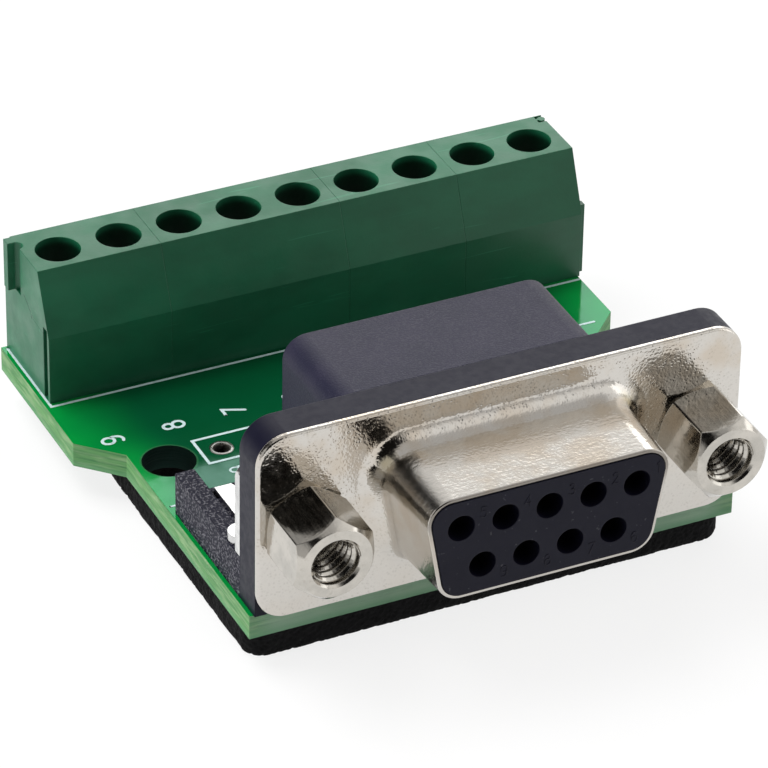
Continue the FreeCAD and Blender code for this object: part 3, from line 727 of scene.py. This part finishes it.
def make_thread(side):
    """Thread turns inside a jack socket's bore."""
    bm = bmesh.new()
    lead, turns, steps, fading = 0.53, 5.8, 36, 12
    crest, root = 1.24, JACK_BORE - 0.004
    section = [(root, -0.24), (crest, -0.04), (crest, 0.04), (root, 0.24)]
    rows = []
    for i in range(int(turns * steps) + 1):
        angle = 2 * math.pi * i / steps
        along = JACK_FRONT + 0.3 + lead * i / steps
        fade = max(0.02, min(1.0, i / fading, (turns * steps - i) / fading + 0.02))
        out = Vector((math.cos(angle), 0, math.sin(angle)))
        ring = []
        for r, h in section:
            spot = Vector((side * JACK_X, along + h, AXIS_Z)) + out * (root - (root - r) * fade)
            ring.append(bm.verts.new(spot * MM))
        rows.append(ring)
    for a, b in zip(rows, rows[1:]):
        for k in range(4):
            j = (k + 1) % 4
            bm.faces.new((a[k], b[k], b[j], a[j]))
    bm.faces.new(rows[0])
    bm.faces.new(rows[-1][::-1])
    name = "jack_thread_left" if side < 0 else "jack_thread_right"
    add_piece(name, finish_mesh(bm, name), jack, smooth=False)


make_foam()
make_screen_print()
make_face_numbers()
make_plated_holes()
for side in (-1, 1):
    make_thread(side)


# Floor, light and camera

FLOOR_REACH = 3.0
FLOOR_DROP = 0.02
WHITE_SHARE = 0.82


def make_floor():
    """Pale floor that takes the shadow; in the camera and in mirrors most of it is plain white."""
    mesh = bpy.data.meshes.new("floor")
    square = ((-1, -1), (1, -1), (1, 1), (-1, 1))
    corners = [(u * FLOOR_REACH, v * FLOOR_REACH, 0) for u, v in square]
    mesh.from_pydata(corners, [], [(0, 1, 2, 3)])
    floor = bpy.data.objects.new("floor", mesh)
    bpy.context.collection.objects.link(floor)
    floor.location.z = -FLOOR_DROP * MM
    p = Paint("pale_floor", (0.82, 0.82, 0.82), 0.9)
    p.colour(p.mix(p.patches(200.0, 0.3, 0.7, 0, 1), (0.82, 0.82, 0.82), (0.84, 0.84, 0.84)))
    p.shader.inputs["Specular IOR Level"].default_value = 0.1
    path = p.node("ShaderNodeLightPath")
    seen = p.maths("MAXIMUM", path.outputs["Is Camera Ray"], path.outputs["Is Glossy Ray"])
    seen = p.maths("MAXIMUM", seen, path.outputs["Is Transmission Ray"])
    glow = p.node("ShaderNodeEmission", {"Color": (1, 1, 1, 1), "Strength": 1.0})
    share = p.times(seen, WHITE_SHARE)
    both = p.node("ShaderNodeMixShader", {0: share, 1: p.shader.outputs[0], 2: glow.outputs[0]})
    p.link(both.outputs[0], p.out.inputs["Surface"])
    mesh.materials.append(p.material)


def make_world():
    """Pale room: bright behind the object and on both sides, dark in front and on the near left."""
    world = bpy.data.worlds.new("studio")
    bpy.context.scene.world = world
    world.use_nodes = True
    w = Nodes(world.node_tree)
    x, y, z = w.split(w.node("ShaderNodeTexCoord").outputs["Generated"])

    def blend(factor, a, b):
        return w.node("ShaderNodeMix", {0: factor, 2: a, 3: b}, data_type="FLOAT").outputs[0]

    right = w.times(w.span(x, 0.03, 0.4, 0, 1), w.span(z, -0.1, 0.5, 0.45, 1))
    front = w.maths("ADD", right, 0.008)
    behind = w.span(x, -0.55, 0.1, 0.03, 0.92)
    level = blend(w.span(y, -0.3, 0.25, 0, 1), front, behind)
    far_left = w.span(x, -0.62, -0.85, 0, 0.55)
    level = w.maths("ADD", level, far_left)
    overhead = w.span(z, 0.72, 0.89, 0, 1)
    level = blend(overhead, level, 0.55)
    room = w.node("ShaderNodeBackground", {"Color": (1, 0.99, 0.975, 1), "Strength": level})
    white = w.node("ShaderNodeBackground", {"Color": (1, 1, 1, 1), "Strength": 1.0})
    seen = w.node("ShaderNodeLightPath").outputs["Is Camera Ray"]
    both = w.node("ShaderNodeMixShader", {0: seen, 1: room.outputs[0], 2: white.outputs[0]})
    out = w.node("ShaderNodeOutputWorld")
    w.link(both.outputs[0], out.inputs["Surface"])


LIT_SPOT = (0, 0, 0.006)


def add_light(name, spot, width, depth, power, mirrored=True):
    """Soft rectangular lamp, in metres and watts; one that isn't mirrored shows in no mirror."""
    data = bpy.data.lights.new(name, "AREA")
    data.shape = "RECTANGLE"
    data.size = width
    data.size_y = depth
    data.energy = power
    light = bpy.data.objects.new(name, data)
    bpy.context.collection.objects.link(light)
    light.visible_glossy = mirrored
    light.location = spot
    light.rotation_mode = "QUATERNION"
    light.rotation_quaternion = (Vector(spot) - Vector(LIT_SPOT)).to_track_quat("Z", "Y")


# The photo's view: lens, turn round Z, height over the horizon and tilt in degrees, aim and range
LENS = 248.44
AZIMUTH, ELEVATION, ROLL = -25.775, 33.266, 0.986
AIM = (-1.04, -3.27, 7.69)
RANGE = 315.04


def make_camera():
    data = bpy.data.cameras.new("camera")
    data.sensor_width = 36.0
    data.lens = LENS
    data.clip_start, data.clip_end = 0.01, 20
    camera = bpy.data.objects.new("camera", data)
    bpy.context.collection.objects.link(camera)
    azimuth, elevation, roll = (math.radians(angle) for angle in (AZIMUTH, ELEVATION, ROLL))
    level = math.cos(elevation)
    back = Vector((math.sin(azimuth) * level, -math.cos(azimuth) * level, math.sin(elevation)))
    camera.location = Vector(AIM) * MM + back * RANGE * MM
    camera.rotation_mode = "QUATERNION"
    upright = (-back).to_track_quat("-Z", "Y")
    camera.rotation_quaternion = Matrix.Rotation(roll, 3, back).to_quaternion() @ upright
    bpy.context.scene.camera = camera


make_floor()
make_world()
add_light("softbox_behind", (0.235, 0.486, 0.262), 0.56, 0.24, 0.9)
add_light("softbox_above", (-0.2, 0.21, 0.52), 0.4, 0.4, 3.6, mirrored=False)
add_light("fill_left", (-0.55, 0.12, 0.12), 0.3, 0.2, 2.0, mirrored=False)
add_light("fill_right", (0.5, -0.25, 0.14), 0.4, 0.3, 0.35)
make_camera()
bpy.context.scene.view_settings.view_transform = "Standard"
